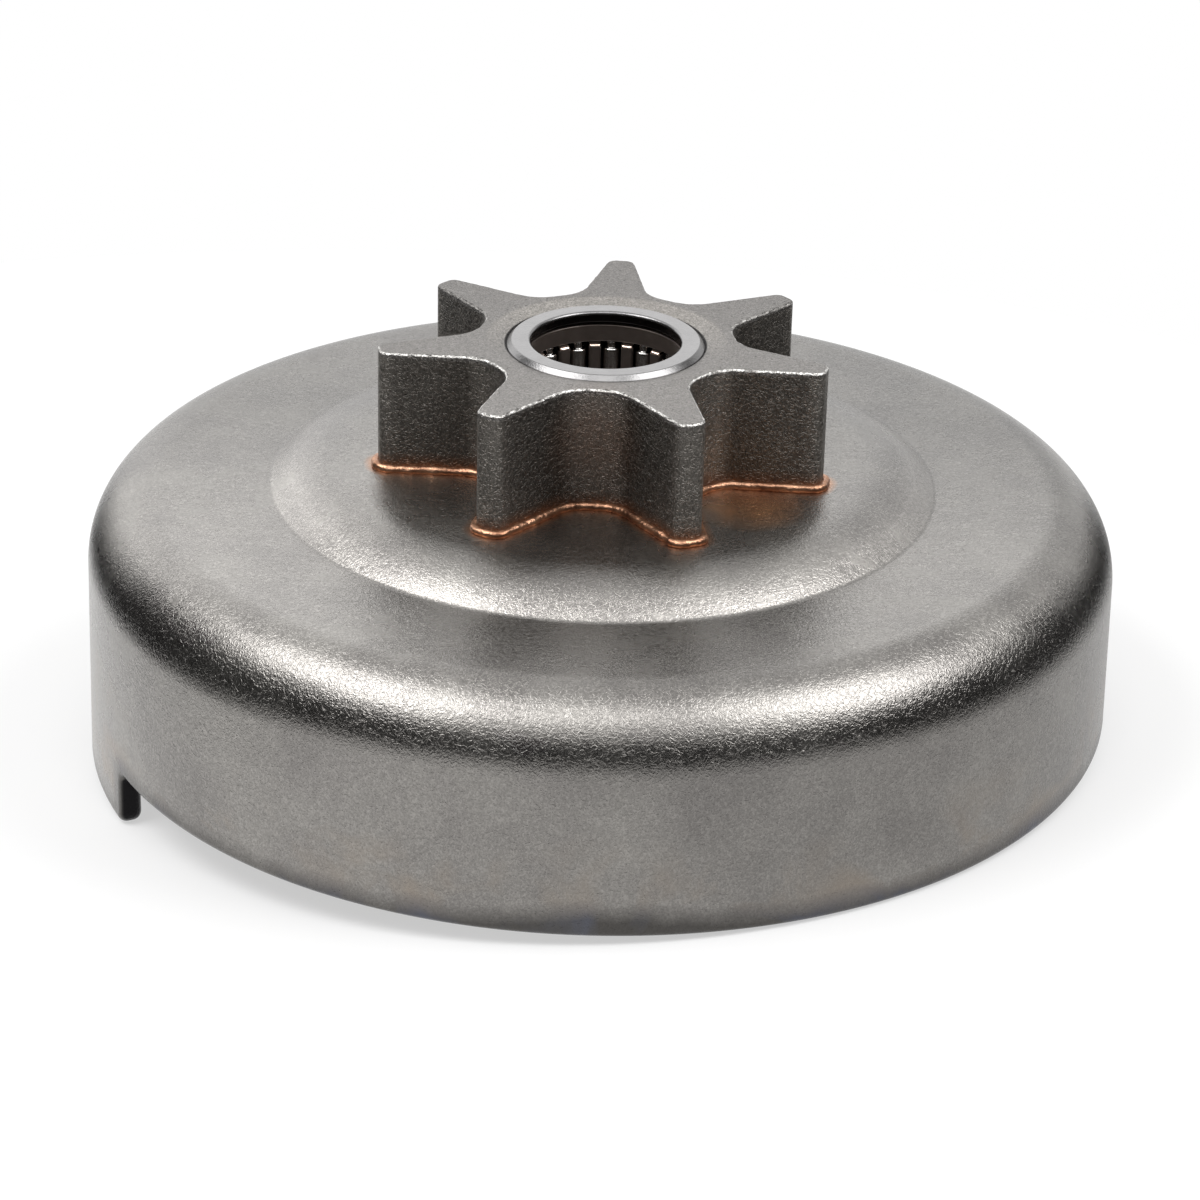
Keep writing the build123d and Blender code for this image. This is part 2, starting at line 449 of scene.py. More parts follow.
def lower_edge():
    """The cup's lower edge unrolled flat: places (along the rim, height) and ways into the steel. Each
    arc starts a little clear of the straight run beside it."""
    side = [(s, -TAB_DROP, 0, 1) for s in np.arange(PACE / 2, TAB_HALF - TAB_CORNER - 0.1, PACE)]
    for a in np.radians(np.linspace(-90, 0, 13)):
        x, z = cos(a), sin(a)
        place = (TAB_HALF - TAB_CORNER + TAB_CORNER * x, -TAB_DROP + TAB_CORNER + TAB_CORNER * z)
        side.append((*place, -x, -z))
    for height in np.linspace(-TAB_DROP + TAB_CORNER + 0.15, -TAB_ROOT - 0.15, 6):
        side.append((TAB_HALF, height, -1, 0))
    for a in np.radians(np.linspace(180, 90, 9)):
        x, z = cos(a), sin(a)
        side.append((TAB_HALF + TAB_ROOT + TAB_ROOT * x, -TAB_ROOT + TAB_ROOT * z, x, z))
    for i in range(ceil((TAB_HALF + TAB_ROOT + 0.3) / PACE), ROUND_STEPS // 2 + 1):
        side.append((i * PACE, 0, 0, 1))
    right = np.array(side)
    left = right[::-1] * (-1, 1, -1, 1)
    both = np.concatenate([left, right])
    return both[:, :2], both[:, 2:]


def wrapped(flat, depth):
    """Wraps flat (along the rim, height) places round the wall, at a depth under its outside."""
    outside = outer_radius(flat[:, 1])
    radius = outside - depth / WALL * (outside - INSIDE_RADIUS)
    angle = flat[:, 0] / RIM_RADIUS + radians(TAB_ANGLE)
    return np.stack([radius * np.cos(angle), radius * np.sin(angle), flat[:, 1]], 1)


def wall_skin(edge, depth):
    """One side of the wall from its lower edge up to the turned part, with the tab in it."""
    across = np.arange(-ROUND_STEPS // 2, ROUND_STEPS // 2 + 1) * PACE
    outline = [tuple(point) for point in edge] + [(s, BAND_TOP) for s in across[::-1]]
    count = len(outline)
    inner = [(s, z) for z in BAND_ROWS for s in across[1:-1]]
    reach = TAB_HALF - 1.5
    inner += [(s, z) for z in np.arange(-3.0, 1.2, 0.7) for s in across if abs(s) < reach]
    points = [Vector(point) for point in outline + inner]
    border = [(i, (i + 1) % count) for i in range(count)]
    places, _, faces, *_ = delaunay_2d_cdt(points, border, [], 1, 1e-7)
    mesh = bpy.data.meshes.new("wall_skin")
    bent = wrapped(np.array([tuple(v) for v in places]), depth)
    mesh.from_pydata([tuple(point * MM) for point in bent], [], [tuple(face) for face in faces])
    return mesh


def cup_mesh(finish):
    """The whole pressing: turned shoulder, web and boss, the wall's two skins and its rounded edge."""
    outside = [(outer_radius(BAND_TOP), BAND_TOP, 0)] + cup_corners(0, RIM_RADIUS - WALL_DRAFT)
    outside += [(radius, BOSS_TOP, 0) for radius in np.arange(BOSS_FLAT_RADIUS, WEB_HOLE_RADIUS, -0.3)]
    outside.append((WEB_HOLE_RADIUS, BOSS_TOP, 0))
    inside = [(INSIDE_RADIUS, BAND_TOP, 0)] + cup_corners(WALL, INSIDE_RADIUS)
    inside.append((WEB_HOLE_RADIUS, BOSS_UNDERSIDE, 0))
    corners = outside + inside[::-1]
    first = radians(TAB_ANGLE) - pi
    cup = lathed("cup", corners, finish, ROUND_STEPS, closed=False, step=2.5, start_angle=first)
    edge, inward = lower_edge()
    border = edge + inward * (RIM_ROUNDING + GUARD)
    quarter = np.radians(np.linspace(0, 90, 8))
    outer, inner = [], []
    for a in quarter:
        drawn_in = edge + inward * (RIM_ROUNDING * (1 - sin(a)))
        depth = RIM_ROUNDING * (1 - cos(a))
        outer.append(wrapped(drawn_in, depth))
        inner.append(wrapped(drawn_in, WALL - depth))
    rows = [wrapped(border, 0.0)] + outer + inner[::-1] + [wrapped(border, WALL)]
    skins = [wall_skin(border, depth) for depth in (0.0, WALL)]
    return piece("pressed_cup", [cup, grid_mesh(rows)] + skins, finish, sharp=50)


def drum_cup(finish):
    """The pressed cup, with the distances that its finish reads: to the lower edge, to the joint with
    the teeth, and the share of near-black on the tab's cut end."""
    made = cup_mesh(finish)
    places = vertex_places(made.data)
    height = places[:, 2]
    radius = np.hypot(places[:, 0], places[:, 1])
    turn = np.arctan2(places[:, 1], places[:, 0]) - radians(TAB_ANGLE)
    turn = (turn + pi) % (2 * pi) - pi
    flat = np.stack([turn * RIM_RADIUS, height], 1)
    from_edge = np.full(len(places), EDGE_REACH)
    low = height < EDGE_REACH
    from_edge[low] = distances(flat[low], lower_edge()[0], 40)
    give_values(made.data, "edge_mm", from_edge)
    off_middle = height - np.clip(height, -TAB_DROP + CUT_INSET, CUT_TOP)
    reach = np.hypot(outer_radius(height) - radius - CUT_INSET, off_middle)
    cut = np.clip((CUT_HALF_WIDTH - reach) / CUT_FADE, 0, 1) * (from_edge < CUT_REACH)
    give_values(made.data, "cut_edge", cut)
    joint = np.full(len(places), JOINT_REACH)
    boss = (height > BOSS_TOP - 1.2) & (radius < BOSS_REACH)
    joint[boss] = distances(places[boss, :2], toothed_ring(0.0), 60)
    give_values(made.data, "joint_mm", joint)
    return made


def tooth_outline():
    """One pitch of the toothed outline, from gullet to gullet, at even steps."""
    slope = radians(FLANK_SLOPE)
    out = np.array((sin(slope), cos(slope)))
    along = np.array((cos(slope), -sin(slope)))
    flank = TIP_RADIUS * sin(slope) + TIP_HALF_WIDTH * cos(slope)
    aside = flank + GULLET_ROUNDING
    reach = sqrt((ROOT_RADIUS + GULLET_ROUNDING) ** 2 - aside**2)
    gullet = out * aside + along * reach
    foot = gullet - out * GULLET_ROUNDING
    tip = rounded_path(
        [(TIP_RADIUS, 0, 0), (TIP_RADIUS, TIP_HALF_WIDTH, TIP_ROUNDING), (*foot, 0)], step=8, guard=0.05
    )
    start = atan2(*(-out)[::-1])
    stop = atan2(*(-gullet)[::-1])
    sweep = (stop - start + pi) % (2 * pi) - pi
    turns = start + sweep * np.linspace(0, 1, 24)[1:]
    bend = gullet + GULLET_ROUNDING * np.stack([np.cos(turns), np.sin(turns)], 1)
    turns = np.linspace(atan2(gullet[1], gullet[0]), pi / TEETH, 8)[1:]
    root = ROOT_RADIUS * np.stack([np.cos(turns), np.sin(turns)], 1)
    rough = np.concatenate([tip, bend, root])
    run = np.concatenate([[0], np.cumsum(np.linalg.norm(np.diff(rough, axis=0), axis=1))])
    count = round(run[-1] / OUTLINE_STEP)
    even = np.linspace(0, run[-1], count + 1)
    half = np.stack([np.interp(even, run, rough[:, 0]), np.interp(even, run, rough[:, 1])], 1)
    points = np.concatenate([half[:0:-1] * (1, -1), half])
    side = np.gradient(points, axis=0)
    side /= np.linalg.norm(side, axis=1)[:, None]
    inward = np.stack([-side[:, 1], side[:, 0]], 1)
    for end in (0, -1):
        inward[end] = -points[end] / np.linalg.norm(points[end])
    return points, inward


def sprocket(finish):
    """Sintered spur sprocket: one tooth's sector, repeated seven times round its axis. Each ring of the
    sector has its places, its height and its share of wear."""
    points, inward = tooth_outline()
    polar = points / np.linalg.norm(points, axis=1)[:, None]
    rings = [(points, height, 0.0) for height in FLANK_ROWS]
    for a in np.radians(np.linspace(0, 90, 7)):
        inset = TOP_ROUNDING * (1 - cos(a))
        height = SPROCKET_TOP - TOP_ROUNDING * (1 - sin(a))
        rings.append((points + inward * inset, height, sin(2 * a)))
    rim = points + inward * (TOP_ROUNDING + 0.1)
    mouth = polar * (DISH_RADIUS + 0.06)
    for share in (0.0, 0.3, 0.6, 0.9, 1.0):
        rings.append((rim * (1 - share) + mouth * share, SPROCKET_TOP, 0.0))
    dish = SPROCKET_TOP - DISH_DEPTH
    for radius, height in (
        (DISH_RADIUS - 0.06, SPROCKET_TOP - 0.01),
        (BORE_RADIUS + BORE_CHAMFER + 0.5, dish + 0.1),
        (BORE_RADIUS + BORE_CHAMFER, dish),
        (BORE_RADIUS, dish - BORE_CHAMFER),
        (BORE_RADIUS, dish - BORE_CHAMFER - 0.1),
        (BORE_RADIUS, SPIGOT_END + 0.1),
        (BORE_RADIUS + 0.1, SPIGOT_END),
        (SPIGOT_RADIUS - 0.15, SPIGOT_END),
        (SPIGOT_RADIUS, SPIGOT_END + 0.15),
        (SPIGOT_RADIUS, SEAT_HEIGHT),
    ):
        rings.append((polar * radius, height, 0.0))
    sector = grid_mesh([level(flat, height) for flat, height, _ in rings], closed=True)
    give_values(sector, "arris", np.repeat([wear for *_, wear in rings], len(points)))
    reach = (np.linalg.norm(points, axis=1) - ROOT_RADIUS) / (TIP_RADIUS - ROOT_RADIUS)
    give_values(sector, "reach", np.tile(reach, len(rings)))
    blank = shaped(
        "blank",
        sector,
        repeated,
        finish,
        Count=TEETH,
        First_angle=radians(TOOTH_TURN),
        Wear_depth=WEAR_DEPTH * MM,
        Wear_size=WEAR_SIZE * MM,
        Seed=3.0,
    )
    return piece("sintered_sprocket", [blank], finish, sharp=40)


def toothed_ring(outset):
    """The whole toothed outline, moved outwards a little."""
    points, inward = tooth_outline()
    outline = []
    for i in range(TEETH):
        a = radians(TOOTH_TURN) + 2 * pi * i / TEETH
        turn = np.array(((cos(a), sin(a)), (-sin(a), cos(a))))
        outline.append((points - inward * outset)[:-1] @ turn)
    return np.concatenate(outline)


def braze(finish):
    """Copper that ran out of the joint: a lumpy bead round the teeth and one round the spigot's end."""
    around = level(toothed_ring(BEAD_OUTSET), BOSS_TOP + BEAD_SINK)
    top = shaped(
        "bead",
        path_mesh(around, True),
        beaded,
        finish,
        Bead_radius=BEAD_RADIUS * MM,
        Lean=LEAN,
        Lump_size=1.3 * MM,
        Lump_height=0.36 * MM,
        Seed=5.0,
    )
    turns = np.linspace(0, 2 * pi, UNDER_BEAD_STEPS, endpoint=False)
    ring = UNDER_BEAD_PATH * np.stack([np.cos(turns), np.sin(turns)], 1)
    under = shaped(
        "ring",
        path_mesh(level(ring, BOSS_UNDERSIDE - BEAD_SINK), True),
        beaded,
        finish,
        Bead_radius=UNDER_BEAD_RADIUS * MM,
        Lean=-LEAN,
        Lump_size=1.2 * MM,
        Lump_height=0.2 * MM,
        Seed=9.0,
    )
    return piece("copper_braze", [top, under], finish, sharp=80)


def shell(finish):
    """Drawn outer cup of the bearing: a flat lip, a bevelled shoulder and the raceway inside."""
    bevel = 0.45
    corners = [
        (LIP_RADIUS, BEARING_BOTTOM, 0.2),
        (BORE_RADIUS - bevel, BEARING_BOTTOM, 0.12),
        (BORE_RADIUS, BEARING_BOTTOM + bevel, 0.12),
        (BORE_RADIUS, BEARING_TOP - bevel, 0.1),
        (BORE_RADIUS - bevel, BEARING_TOP, 0.14),
        (LIP_RADIUS, BEARING_TOP, 0.26),
        (LIP_RADIUS, BEARING_TOP - LIP_THICKNESS, 0.1),
        (RACEWAY_RADIUS, BEARING_TOP - LIP_THICKNESS, 0.15),
        (RACEWAY_RADIUS, BEARING_BOTTOM + LIP_THICKNESS, 0.15),
        (LIP_RADIUS, BEARING_BOTTOM + LIP_THICKNESS, 0.1),
    ]
    turned_shell = lathed("shell", corners, finish, 180, step=6, guard=0.04)
    return piece("bearing_outer_shell", [turned_shell], finish, sharp=50)


def cage_bar():
    """Cross-sections of one cage bar: a rounded face that stands proud of the end rings and bends back
    to them at both ends."""
    front = CAGE_INNER_RADIUS - BAR_PROUD
    back = CAGE_RADIUS - 0.05
    side = BAR_WIDTH / 2
    section = rounded_path(
        [
            (back, -side * 0.6, 0),
            (front + 0.5, -side, 0.05),
            (front, -side, 0.22),
            (front, side, 0.22),
            (front + 0.5, side, 0.05),
            (back, side * 0.6, 0),
            (back, -side * 0.6, 0),
        ],
        step=15,
        guard=0.01,
    )
    low = CAGE_BOTTOM + CAGE_RING
    high = CAGE_TOP - CAGE_RING - BAR_DROP
    turns = np.radians(range(0, 91, 10))
    bend = [(BAR_BEND * (1 - cos(a)), BAR_BEND * (1 - sin(a))) for a in turns]
    path = [(low - 0.05, BAR_BEND)]
    path += [(low + rise, retreat) for rise, retreat in bend]
    path += [(high - rise, retreat) for rise, retreat in bend[::-1]]
    path += [(high + BAR_DROP + 0.05, BAR_BEND)]
    rows = []
    for height, retreat in path:
        thinner = 1 - retreat / (back - front)
        places = np.column_stack([back - (back - section[:, 0]) * thinner, section[:, 1]])
        rows.append(level(places, height))
    return rows


def cage(finish):
    """Cage of two turned end rings with fifteen bars between them."""
    rings = []
    for low in (CAGE_BOTTOM, CAGE_TOP - CAGE_RING):
        high = low + CAGE_RING
        inner, outer = CAGE_INNER_RADIUS, CAGE_RADIUS
        corners = [(inner, low, 0.1), (outer, low, 0.1), (outer, high, 0.1), (inner, high, 0.1)]
        rings.append(lathed("ring", corners, finish, 120, step=15, guard=0.03))
    bar = grid_mesh(cage_bar())
    bm = bmesh.new()
    bm.from_mesh(bar)
    bmesh.ops.remove_doubles(bm, verts=bm.verts, dist=1e-7)
    bmesh.ops.holes_fill(bm, edges=[e for e in bm.edges if e.is_boundary])
    bm.to_mesh(bar)
    bm.free()
    turn = radians(ROLLER_TURN + 180 / ROLLERS)
    bars = shaped("bars", bar, repeated, finish, Count=ROLLERS, First_angle=turn, Wear_depth=0.0)
    return piece("bearing_cage", rings + [bars], finish, sharp=45, weld=1e-7)


def needle(number, finish):
    """One needle roller with rounded shoulders and a nub on each end, at its place in the cage."""
    end = ROLLER_LENGTH / 2
    body = end - NUB_HEIGHT
    upper = [(ROLLER_RADIUS, body, 0.2), (NUB_RADIUS, body, 0.05), (NUB_RADIUS, end, 0.12), (0, end, 0)]
    corners = [(radius, -height, rounding) for radius, height, rounding in upper[::-1]] + upper
    roll = lathed("needle", corners, finish, 40, closed=False, step=15, guard=0.03)
    a = radians(ROLLER_TURN) + 2 * pi * (number - 1) / ROLLERS
    place = (PITCH_RADIUS * cos(a), PITCH_RADIUS * sin(a), ROLLER_MIDDLE)
    return piece(f"needle_{number:02d}", [roll], finish, shift=place, sharp=60, weld=1e-7)


def linear(code):
    """Linear colour of an sRGB hex code."""
    parts = [int(code[i : i + 2], 16) / 255 for i in (1, 3, 5)]
    return (*[p / 12.92 if p <= 0.04045 else ((p + 0.055) / 1.055) ** 2.4 for p in parts], 1.0)


def new_finish(name, roughness):
    """A metal and the millimetre coordinates that its patterns are drawn in. In the finishes below, a
    MapRange list gives the value, the range it comes from and, if that isn't 0 to 1, its new range."""
    material = bpy.data.materials.new(name)
    material.use_nodes = True
    tree = material.node_tree
    shader = tree.nodes["Principled BSDF"]
    plug(tree, shader, {"Metallic": 1.0, "Roughness": roughness})
    own = add(tree, "TexCoord").outputs["Object"]
    ruler = add(tree, "Mapping", {"Vector": own, "Scale": (1 / MM,) * 3})
    return material, tree, shader, ruler


def worms(tree, mm, scale, width):
    """Thin curling lines, 1 on a line and 0 beside it, as blasting and sintering leave them."""
    noise = add(tree, "TexNoise", {"Vector": mm, "Scale": scale, "Detail": 1.0, "Distortion": 0.8})
    centred = add(tree, "Math", [noise, 0.5], operation="SUBTRACT")
    away = add(tree, "Math", [centred], operation="ABSOLUTE")
    return add(tree, "MapRange", [away, width, width * 0.15])


def axis_distance(tree, mm):
    """Distance from the drum's axis, in millimetres."""
    away = add(tree, "VectorMath", [mm, (1, 1, 0)], operation="MULTIPLY")
    return add(tree, "VectorMath", [away], operation="LENGTH")


def painted_light_by_place(tree, place):
    """Painted light by place on the cup's steel: 1 on the wall, painted shade on the web towards its
    right and its back, and a painted highlight on the slope up to the boss."""
    x, y, z = place
    across = add(tree, "MapRange", [x, -30.0, 30.0, 0.94, 0.8])
    behind = add(tree, "MapRange", [y, -14.0, 13.0, 1.06, 0.66])
    flat = add(tree, "Math", [across, behind], operation="MULTIPLY")
    web = add(tree, "MapRange", [z, WEB_HEIGHT - 0.9, WEB_HEIGHT - 0.1, 1.0, flat])
    foot = add(tree, "MapRange", [z, WEB_HEIGHT + 0.02, WEB_HEIGHT + 0.12])
    slope = add(tree, "MapRange", [z, BOSS_TOP - 0.2, BOSS_TOP - 1.1, 0.0, 0.48])
    return add(tree, "Math", [foot, slope, web], operation="MULTIPLY_ADD")


def heat_tint_and_shade_edge(tree, mm, stain):
    """Share of heat tint along the cup's lower edge, ragged, with painted shade deepening it towards the
    front.
    """
    edge = add(tree, "Attribute", attribute_name="edge_mm")
    ragged = add(tree, "Math", [stain, -2.2, edge.outputs["Fac"]], operation="MULTIPLY_ADD")
    # Painted shade: the edge darkens further and higher towards the front
    from_darkest_front = add(tree, "VectorMath", [mm, SCORCH_AND_SHADE_PLACE], operation="DISTANCE")
    scorch_and_shade = add(tree, "MapRange", [from_darkest_front, 14.0, 2.0, 0.0, 1.2])
    deeper = add(tree, "Math", [ragged, scorch_and_shade], operation="SUBTRACT")
    return add(tree, "MapRange", [deeper, 0.95, -0.9, 0.0, 0.86])


def copper_pool(tree, mm, z, stain):
    """Share of copper in the blotched pool that ran out beside one tooth, on the boss's top only."""
    pool = add(tree, "VectorMath", [mm, POOL_PLACE], operation="DISTANCE")
    spread = add(tree, "MapRange", [pool, 4.6, 1.6, 0.0, 0.95])
    blotched = add(tree, "MapRange", [stain, 0.3, 0.6, 0.35])
    flushed = add(tree, "Math", [spread, blotched], operation="MULTIPLY")
    topside = add(tree, "Math", [z, BOSS_TOP - 0.9], operation="GREATER_THAN")
    return add(tree, "Math", [flushed, topside], operation="MULTIPLY")


def blasted_steel():
    """Deep-drawn sheet steel, blasted and tumbled: a mid-grey satin with a worm-like orange peel of
    about 0.3 mm, soft darker clouds, brown handling stains low on the wall, a blued lower edge that
    painted shade darkens further at the front, painted shade on the web towards its right and back,
    a painted highlight on the slope up to the boss, and copper that crept over the boss from the joint."""
    material, tree, shader, mm = new_finish("blasted_pressed_steel", 0.3)
    hammered = {"Vector": mm, "Scale": 3.0, "Detail": 3.0, "Roughness": 0.55, "Distortion": 1.2}
    peel = add(tree, "TexNoise", hammered)
    grit = add(tree, "TexNoise", {"Vector": mm, "Scale": 6.5, "Detail": 2.0, "Roughness": 0.6})
    cloud = add(tree, "TexNoise", {"Vector": mm, "Scale": 0.11, "Detail": 4.0, "Roughness": 0.6})
    handled = {"Vector": mm, "Scale": 0.16, "Detail": 3.0, "Roughness": 0.55, "Distortion": 0.5}
    stain = add(tree, "TexNoise", handled)
    tone = add(tree, "ValToRGB", [cloud])
    for stop, position, code in zip(tone.color_ramp.elements, (0.36, 0.66), ("#83807D", "#94918D")):
        stop.position, stop.color = position, linear(code)
    speckle = add(tree, "MapRange", [grit, 0.35, 0.7, 0.82, 1.12])
    worm = worms(tree, mm, 2.5, 0.075)
    lined = add(tree, "Math", [worm, 0.2, speckle], operation="MULTIPLY_ADD")
    place = add(tree, "SeparateXYZ", [mm]).outputs
    colour = tone
    # The second factor is painted light: shade on the web to the right and back, a highlight on the boss
    # slope
    for factor in (lined, painted_light_by_place(tree, place)):
        colour = add(tree, "Mix", [1.0, colour, factor], data_type="RGBA", blend_type="MULTIPLY")
    low = add(tree, "MapRange", [place[2], 9.0, 0.5])
    patch = add(tree, "MapRange", [stain, 0.5, 0.72])
    brown = add(tree, "Math", [low, patch], operation="MULTIPLY")
    temper = add(tree, "Mix", [patch, linear("#454341"), linear("#4E5462")], data_type="RGBA")
    joint = add(tree, "Attribute", attribute_name="joint_mm")
    halo = add(tree, "MapRange", [joint.outputs["Fac"], 1.25, 0.6, 0.0, 0.75])
    cut = add(tree, "Attribute", attribute_name="cut_edge")
    for share, over in (
        (brown, linear("#958B80")),
        # Heat tint on the lower edge, deepened at the front by painted shade
        (heat_tint_and_shade_edge(tree, mm, stain), temper),
        (copper_pool(tree, mm, place[2], stain), linear("#F0BB90")),
        (halo, linear("#A97F62")),
        (cut.outputs["Fac"], linear("#1B1A1B")),
    ):
        colour = add(tree, "Mix", [share, colour, over], data_type="RGBA")
    dull = add(tree, "MapRange", [cloud, 0.3, 0.7, 0.24, 0.3])
    coarse = add(tree, "Bump", {"Height": peel, "Distance": 0.032 * MM})
    lines = add(tree, "Bump", {"Height": worm, "Distance": 0.008 * MM, "Normal": coarse})
    fine = add(tree, "Bump", {"Height": grit, "Distance": 0.012 * MM, "Normal": lines})
    plug(tree, shader, {"Base Color": colour, "Roughness": dull, "Normal": fine})
    return material


def sintered_colour_with_painted_light(tree, place, radius, cloud):
    """Colour of the bare sintered steel with painted light: its flanks, made lighter in the gullets and
    at the tips, and its ground top face, darkened towards its back by painted shade, with a painted
    highlight on the dish at its back."""
    _, y, z = place
    flank = add(tree, "Mix", [cloud, linear("#817E7A"), linear("#97948F")], data_type="RGBA")
    # Painted light on the flanks: lighter in the gullets and at the tips, darker between them
    along = add(tree, "Attribute", attribute_name="reach")
    band = add(tree, "ValToRGB", [along.outputs["Fac"]])
    for stop, position in zip(band.color_ramp.elements, (0.04, 0.96)):
        stop.position, stop.color = position, linear("#F4F2F0")
    for position, code in ((0.16, "#B8B5B2"), (0.8, "#C8C6C4")):
        band.color_ramp.elements.new(position).color = linear(code)
    banded = add(tree, "Mix", [1.0, flank, band], data_type="RGBA", blend_type="MULTIPLY")
    # Painted highlight on the back of the dish, and painted shade darkening the face towards its back
    dish = add(tree, "MapRange", [radius, DISH_RADIUS + 0.1, DISH_RADIUS - 0.25])
    behind = add(tree, "MapRange", [y, -3.0, 6.0])
    dish_highlight = add(tree, "Math", [dish, behind], operation="MULTIPLY")
    face = add(tree, "Mix", [dish_highlight, linear("#827F7C"), linear("#9B9792")], data_type="RGBA")
    shade = add(tree, "MapRange", [y, -12.0, 12.0, 1.0, 0.8])
    ground = add(tree, "Mix", [1.0, face, shade], data_type="RGBA", blend_type="MULTIPLY")
    top = add(tree, "MapRange", [z, SPROCKET_TOP - 0.5, SPROCKET_TOP - 0.32])
    return add(tree, "Mix", [top, banded, ground], data_type="RGBA")


def joint_brown(tree, mm, z, cloud, grain):
    """Share of brown on the sprocket: blotches of copper low on its flanks and rust in one gullet."""
    near_joint = add(tree, "MapRange", [z, 22.3, 21.0, 0.0, 0.9])
    blotched = add(tree, "MapRange", [cloud, 0.3, 0.6, 0.5])
    warm = add(tree, "Math", [near_joint, blotched], operation="MULTIPLY")
    gullet = add(tree, "VectorMath", [mm, RUSTY_PLACE], operation="DISTANCE")
    rusty = add(tree, "MapRange", [gullet, 5.0, 1.5, 0.0, 0.7])
    patchy = add(tree, "Math", [rusty, grain], operation="MULTIPLY")
    return add(tree, "Math", [warm, patchy], operation="MAXIMUM")


def rubbed_and_highlit_arris(tree, mm, y):
    """Share of bright colour on the teeth's upper arrises, patchy and mostly at the front: worn metal,
    and a painted highlight where the front arrises catch the light.
    """
    arris = add(tree, "Attribute", attribute_name="arris")
    rub = add(tree, "TexNoise", {"Vector": mm, "Scale": 1.7, "Detail": 4.0, "Roughness": 0.7})
    bright_share = add(tree, "MapRange", [rub, 0.38, 0.53])
    ahead = add(tree, "MapRange", [y, 8.0, -1.0, 0.15])
    patchy = add(tree, "Math", [ahead, bright_share], operation="MULTIPLY")
    return add(tree, "Math", [arris.outputs["Fac"], patchy], operation="MULTIPLY")


def sintered_steel():
    """Pressed and sintered powder steel: dark and pitted on its flanks with a worm-like grain that
    glints, a lighter ground top face with a turned dish, painted light on the flanks and the face,
    arrises worn bright here and there with painted highlights on them, and painted shade in the gap
    round the bearing."""
    material, tree, shader, mm = new_finish("sintered_powder_steel", 0.45)
    pressed = {"Vector": mm, "Scale": 3.4, "Detail": 3.0, "Roughness": 0.6, "Distortion": 1.0}
    grain = add(tree, "TexNoise", pressed)
    grit = add(tree, "TexNoise", {"Vector": mm, "Scale": 7.0, "Detail": 2.0, "Roughness": 0.6})
    pits = add(tree, "TexVoronoi", {"Vector": mm, "Scale": 1.5}, feature="F1")
    cloud = add(tree, "TexNoise", {"Vector": mm, "Scale": 0.35, "Detail": 3.0})
    place = add(tree, "SeparateXYZ", [mm]).outputs
    radius = axis_distance(tree, mm)
    speckle = add(tree, "MapRange", [grit, 0.35, 0.68, 0.68, 1.17])
    hollow = add(tree, "MapRange", [pits, 0.06, 0.16])
    sooty = add(tree, "MapRange", [hollow, 0.0, 1.0, 0.4, 1.0])
    worm = worms(tree, mm, 2.9, 0.07)
    lined = add(tree, "Math", [worm, 0.28, speckle], operation="MULTIPLY_ADD")
    spotted = add(tree, "Math", [lined, sooty], operation="MULTIPLY")
    base = sintered_colour_with_painted_light(tree, place, radius, cloud)
    colour = add(tree, "Mix", [1.0, base, spotted], data_type="RGBA", blend_type="MULTIPLY")
    brown = joint_brown(tree, mm, place[2], cloud, grain)
    # Bright arrises: worn metal plus a painted highlight, mostly at the front
    bright = rubbed_and_highlit_arris(tree, mm, place[1])
    # Painted shade in the gap round the bearing, at the bore's edge
    groove = add(tree, "MapRange", [radius, BORE_RADIUS + 0.18, BORE_RADIUS + 0.1])
    for share, code in ((brown, "#85624A"), (bright, "#E6E4E0"), (groove, "#1D1B1A")):
        colour = add(tree, "Mix", [share, colour, linear(code)], data_type="RGBA")
    gloss = add(tree, "MapRange", [bright, 0.0, 1.0, 0.45, 0.26])
    rough = add(tree, "Bump", {"Height": grain, "Distance": 0.075 * MM})
    lines = add(tree, "Bump", {"Height": worm, "Distance": 0.03 * MM, "Normal": rough})
    pitted = add(tree, "Bump", {"Height": hollow, "Distance": 0.04 * MM, "Normal": lines})
    plug(tree, shader, {"Base Color": colour, "Roughness": gloss, "Normal": pitted})
    return material


def copper():
    """Furnace-brazed copper: a soft pinkish sheen where it flowed, browned where it met the air."""
    material, tree, shader, mm = new_finish("furnace_braze_copper", 0.38)
    blotch = add(tree, "TexNoise", {"Vector": mm, "Scale": 0.7, "Detail": 4.0, "Roughness": 0.6})
    tone = add(tree, "ValToRGB", [blotch])
    for stop, position, code in zip(tone.color_ramp.elements, (0.34, 0.6), ("#936A54", "#C6997C")):
        stop.position, stop.color = position, linear(code)
    z = add(tree, "SeparateXYZ", [mm]).outputs["Z"]
    upper = add(tree, "MapRange", [z, BOSS_TOP + 0.42, BOSS_TOP + 0.62, 0.0, 0.45])
    browned = add(tree, "Mix", [upper, tone, linear("#5A3A2B")], data_type="RGBA")
    ripple = add(tree, "TexNoise", {"Vector": mm, "Scale": 1.5, "Detail": 2.0, "Roughness": 0.55})
    wavy = add(tree, "Bump", {"Height": ripple, "Distance": 0.14 * MM})
    plug(tree, shader, {"Base Color": browned, "Normal": wavy})
    return material


